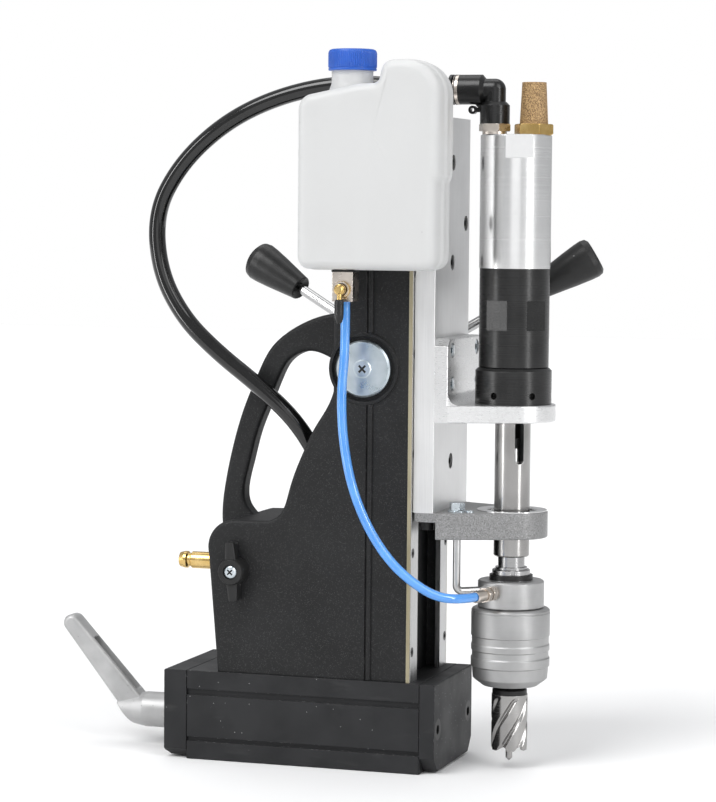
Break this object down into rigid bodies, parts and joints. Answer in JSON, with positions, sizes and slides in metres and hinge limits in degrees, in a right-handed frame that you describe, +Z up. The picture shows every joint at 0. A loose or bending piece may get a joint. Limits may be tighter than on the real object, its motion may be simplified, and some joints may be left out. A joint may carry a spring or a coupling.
{
  "type": "magnetic drill press",
  "caption": "Air-driven magnetic base drill press with feed handles, coolant bottle, core cutter, black stand and an air hose.",
  "frame": {"origin": "centre of the magnet foot's sole", "axes": "+X towards the drill, +Y towards the feed handles' side, +Z up the slide"},
  "size_m": [0.5042, 0.2727, 0.6645],
  "materials": {
    "foot_black": "satin",
    "stand_black": "textured",
    "dark_steel": "satin",
    "ground_steel": "ground",
    "milled_aluminium": "milled",
    "turned_aluminium": "fine turned",
    "black_anodised": "satin",
    "hammer_grey": "textured",
    "lever_silver": "satin",
    "matt_grey_steel": "blasted",
    "zinc_plate": "satin",
    "nickel_plate": "polished",
    "chrome_rod": "polished",
    "brass": "machined",
    "bronze_sinter": "porous",
    "bronze_bush": "machined",
    "cast_iron_bore": "machined",
    "magnet_grey": "ground",
    "grip_black": "matt",
    "black_polymer": "semi-gloss",
    "knob_black": "satin",
    "bottle_white": "translucent",
    "cap_blue": "satin",
    "air_hose_black": "gloss",
    "coolant_hose_blue": "gloss",
    "vane_fibre": "matt",
    "tool_steel": "ground"
  },
  "bodies": {
    "stand": {"foot_body": "foot_black", "end_plate_rear": "foot_black", "end_plate_front": "foot_black", "end_plate_screws": "dark_steel", "stand_screws": "dark_steel", "rotor_bushes": "bronze_bush", "stand_casting": "stand_black", "guide_rails": "ground_steel", "rail_screws": "dark_steel", "side_strips": "brass", "pinion_bushes": "bronze_bush", "air_valve": "brass", "air_nipple": "brass", "lower_elbow": "black_polymer", "coolant_bottle": "bottle_white", "tap_block": "nickel_plate", "bottle_bracket": "dark_steel", "bottle_bracket_screws": "dark_steel", "air_hose": "air_hose_black", "coolant_hose": "coolant_hose_blue"},
    "magnet_switch": {"magnet_rotor": "ground_steel", "rotor_magnets": "magnet_grey", "magnet_lever": "lever_silver"},
    "drill_slide": {"slide": "milled_aluminium", "rack": "ground_steel", "slide_cap_screws": "dark_steel", "motor_bracket": "milled_aluminium", "clamp_collar": "black_anodised", "gear_housing": "black_anodised", "motor_housing": "turned_aluminium", "motor_liner": "cast_iron_bore", "spindle_bearings": "ground_steel", "elbow": "black_polymer", "elbow_nickel": "nickel_plate", "silencer_hex": "brass", "silencer_cone": "bronze_sinter", "guide_bracket": "hammer_grey", "guide_bush": "ground_steel", "torque_arm": "ground_steel", "flange_nut": "zinc_plate", "coolant_ring": "matt_grey_steel", "coolant_fitting": "nickel_plate"},
    "feed_cross": {"pinion_shaft": "ground_steel", "feed_hub": "matt_grey_steel", "feed_spokes": "chrome_rod", "feed_grips": "grip_black", "shaft_disc": "zinc_plate"},
    "drill_spindle": {"spindle": "ground_steel", "arbor": "ground_steel", "ring_nut": "dark_steel", "core_drill": "tool_steel"},
    "chuck_grip": {"chuck_sleeve": "matt_grey_steel"},
    "pilot": {"pilot_pin": "tool_steel"},
    "motor_rotor": {"air_rotor": "ground_steel", "rotor_vanes": "vane_fibre"},
    "valve_handle": {"valve_knob": "knob_black", "valve_ball_stem": "ground_steel"},
    "tap_handle": {"tap_lever": "brass"},
    "cap": {"bottle_cap": "cap_blue"},
    "hose_release": {"release_collar": "black_polymer"}
  },
  "joints": [
    {"name": "magnet_turn", "type": "hinge", "parent": "stand", "child": "magnet_switch", "pos_m": [-0.134, 0, 0.0325], "axis": [1, 0, 0], "range_deg": [0, 90]},
    {"name": "slide_feed", "type": "slide", "parent": "stand", "child": "drill_slide", "axis": [0, 0, -1], "range_m": [-0.08, 0.05], "deforming": ["air_hose", "coolant_hose"]},
    {"name": "feed_turn", "type": "hinge", "parent": "stand", "child": "feed_cross", "pos_m": [0.0617, 0, 0.3737], "axis": [0, 1, 0], "range_deg": [-308, 193]},
    {"name": "spindle_spin", "type": "hinge", "parent": "drill_slide", "child": "drill_spindle", "pos_m": [0.188, 0, 0.25], "axis": [0, 0, 1], "continuous": true},
    {"name": "motor_spin", "type": "hinge", "parent": "drill_slide", "child": "motor_rotor", "pos_m": [0.188, 0, 0.49], "axis": [0, 0, 1], "continuous": true},
    {"name": "chuck_pull", "type": "slide", "parent": "drill_spindle", "child": "chuck_grip", "axis": [0, 0, -1], "range_m": [0, 0.008], "stiffness_N_per_m": 1500, "springref_m": -0.006},
    {"name": "pilot_press", "type": "slide", "parent": "drill_spindle", "child": "pilot", "axis": [0, 0, 1], "range_m": [0, 0.012], "stiffness_N_per_m": 600, "springref_m": -0.006},
    {"name": "valve_turn", "type": "hinge", "parent": "stand", "child": "valve_handle", "pos_m": [-0.0627, 0, 0.181], "axis": [0, 1, 0], "range_deg": [0, 90]},
    {"name": "tap_turn", "type": "hinge", "parent": "stand", "child": "tap_handle", "pos_m": [0.0539, -0.1073, 0.4475], "axis": [0, 1, 0], "range_deg": [0, 90]},
    {"name": "cap_turn", "type": "hinge", "parent": "stand", "child": "cap", "pos_m": [0.0584, -0.0926, 0.65], "axis": [0, 0, 1], "range_deg": [0, 360]},
    {"name": "collar_press", "type": "slide", "parent": "drill_slide", "child": "hose_release", "axis": [1, 0, 0], "range_m": [0, 0.0015], "stiffness_N_per_m": 400, "springref_m": -0.003}
  ],
  "couplings": [
    {"joint": "feed_turn", "follows": "slide_feed", "rad_per_m": 66.667},
    {"joint": "motor_spin", "follows": "spindle_spin", "ratio": 4}
  ]
}
